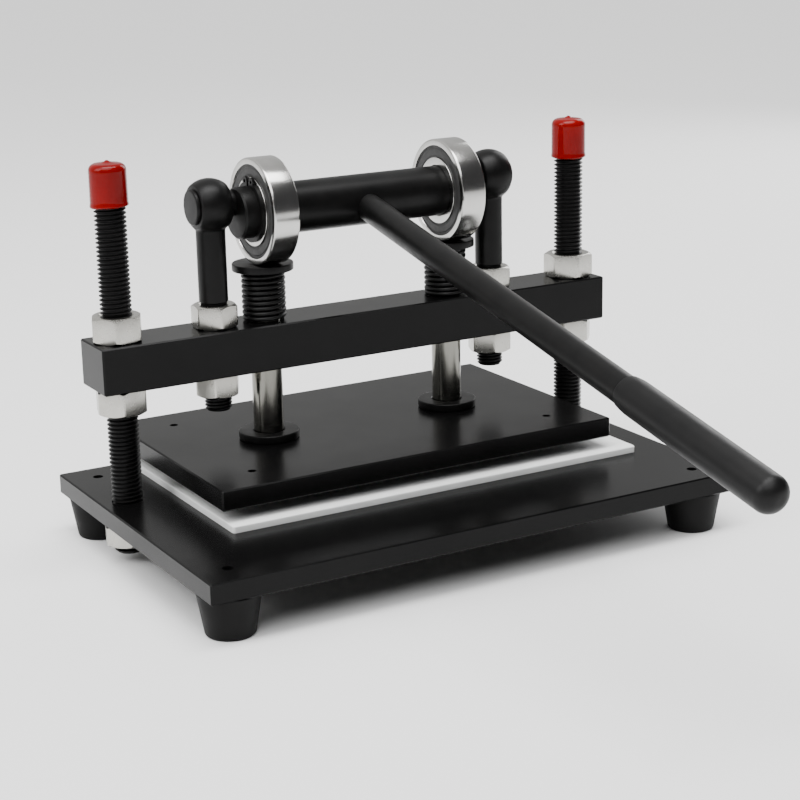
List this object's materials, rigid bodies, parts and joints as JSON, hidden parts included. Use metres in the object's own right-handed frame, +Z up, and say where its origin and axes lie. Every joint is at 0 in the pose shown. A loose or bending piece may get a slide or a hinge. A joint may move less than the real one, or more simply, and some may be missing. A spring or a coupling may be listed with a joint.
{
  "type": "tabletop lever press",
  "caption": "Tabletop lever press: an eccentric camshaft with two roller bearings drives a sprung platen down onto a board on a four-footed bed.",
  "frame": {"origin": "on the table, under the middle of the whole press's outline from above (the lever reaches forward of the bed)", "axes": "+X to the right along the camshaft, +Y to the back (the lever points to -Y), +Z up"},
  "size_m": [0.34, 0.4623, 0.233],
  "materials": {
    "black_plate": "semi-gloss black plate",
    "black_steel": "black oxide, satin",
    "zinc_steel": "zinc plated, satin",
    "bearing_steel": "ground and polished",
    "cage_steel": "pressed steel",
    "seal_rubber": "matt",
    "foot_rubber": "matt, fine grain",
    "red_vinyl": "glossy dipped vinyl",
    "chrome_rod": "ground, hard chromed",
    "spring_steel": "blackened spring steel",
    "grip_plastic": "satin moulded",
    "white_board": "satin polyethylene"
  },
  "bodies": {
    "base": {"base_plate": "black_plate", "foot_front_left": "foot_rubber", "foot_front_right": "foot_rubber", "foot_rear_left": "foot_rubber", "foot_rear_right": "foot_rubber", "foot_screws": "black_steel", "column_left": "black_steel", "column_right": "black_steel", "cap_left": "red_vinyl", "cap_right": "red_vinyl", "base_nut_left": "zinc_steel", "base_nut_right": "zinc_steel"},
    "beam": {"crossbeam": "black_plate", "column_lower_nut_left": "zinc_steel", "column_lower_nut_right": "zinc_steel", "column_upper_nut_left": "zinc_steel", "column_upper_nut_right": "zinc_steel", "eye_bolt_left": "black_steel", "eye_bolt_right": "black_steel", "eye_lower_nut_left": "zinc_steel", "eye_lower_nut_right": "zinc_steel", "eye_upper_nut_left": "zinc_steel", "eye_upper_nut_right": "zinc_steel"},
    "camshaft": {"camshaft": "black_steel", "lever_bar": "black_steel", "lever_grip": "grip_plastic", "pin_button_left": "black_steel", "pin_button_right": "black_steel", "circlip_left": "black_steel", "circlip_right": "black_steel", "bearing_inner_ring_left": "bearing_steel", "bearing_inner_ring_right": "bearing_steel"},
    "platen": {"platen": "black_plate", "rod_screws": "black_steel", "guide_rod_left": "chrome_rod", "guide_rod_right": "chrome_rod", "rod_flange_left": "black_steel", "rod_flange_right": "black_steel", "rod_head_left": "black_steel", "rod_head_right": "black_steel", "return_spring_left": "spring_steel", "return_spring_right": "spring_steel"},
    "bearing_left": {"bearing_outer_ring_left": "bearing_steel", "bearing_seals_left": "seal_rubber"},
    "bearing_right": {"bearing_outer_ring_right": "bearing_steel", "bearing_seals_right": "seal_rubber"},
    "ball_set_left": {"bearing_balls_left": "bearing_steel", "bearing_cage_left": "cage_steel"},
    "ball_set_right": {"bearing_balls_right": "bearing_steel", "bearing_cage_right": "cage_steel"},
    "cutting_board": {"cutting_board": "white_board"}
  },
  "joints": [
    {"name": "beam_height", "type": "slide", "parent": "base", "child": "beam", "axis": [0, 0, 1], "range_m": [-0.005, 0.05]},
    {"name": "lever_turn", "type": "hinge", "parent": "beam", "child": "camshaft", "pos_m": [0, 0.15098, 0.2015], "axis": [-1, 0, 0], "range_deg": [-14, 75]},
    {"name": "platen_slide", "type": "slide", "parent": "beam", "child": "platen", "axis": [0, 0, 1], "range_m": [-0.00111, 0.0059], "stiffness_N_per_m": 4000, "springref_m": 0.012, "deforming": ["return_spring_left", "return_spring_right"]},
    {"name": "board_slide", "type": "slide", "parent": "base", "child": "cutting_board", "axis": [0, -1, 0], "range_m": [0, 0.12]},
    {"name": "bearing_left_spin", "type": "hinge", "parent": "camshaft", "child": "bearing_left", "pos_m": [-0.062, 0.14648, 0.19614], "axis": [1, 0, 0], "continuous": true},
    {"name": "ball_set_left_spin", "type": "hinge", "parent": "camshaft", "child": "ball_set_left", "pos_m": [-0.062, 0.14648, 0.19614], "axis": [1, 0, 0], "continuous": true},
    {"name": "bearing_right_spin", "type": "hinge", "parent": "camshaft", "child": "bearing_right", "pos_m": [0.062, 0.14648, 0.19614], "axis": [1, 0, 0], "continuous": true},
    {"name": "ball_set_right_spin", "type": "hinge", "parent": "camshaft", "child": "ball_set_right", "pos_m": [0.062, 0.14648, 0.19614], "axis": [1, 0, 0], "continuous": true}
  ],
  "couplings": [
    {"joint": "platen_slide", "follows": "lever_turn", "m_per_rad": 0.0044995},
    {"joint": "ball_set_left_spin", "follows": "bearing_left_spin", "ratio": 0.60353},
    {"joint": "ball_set_right_spin", "follows": "bearing_right_spin", "ratio": 0.60353}
  ]
}
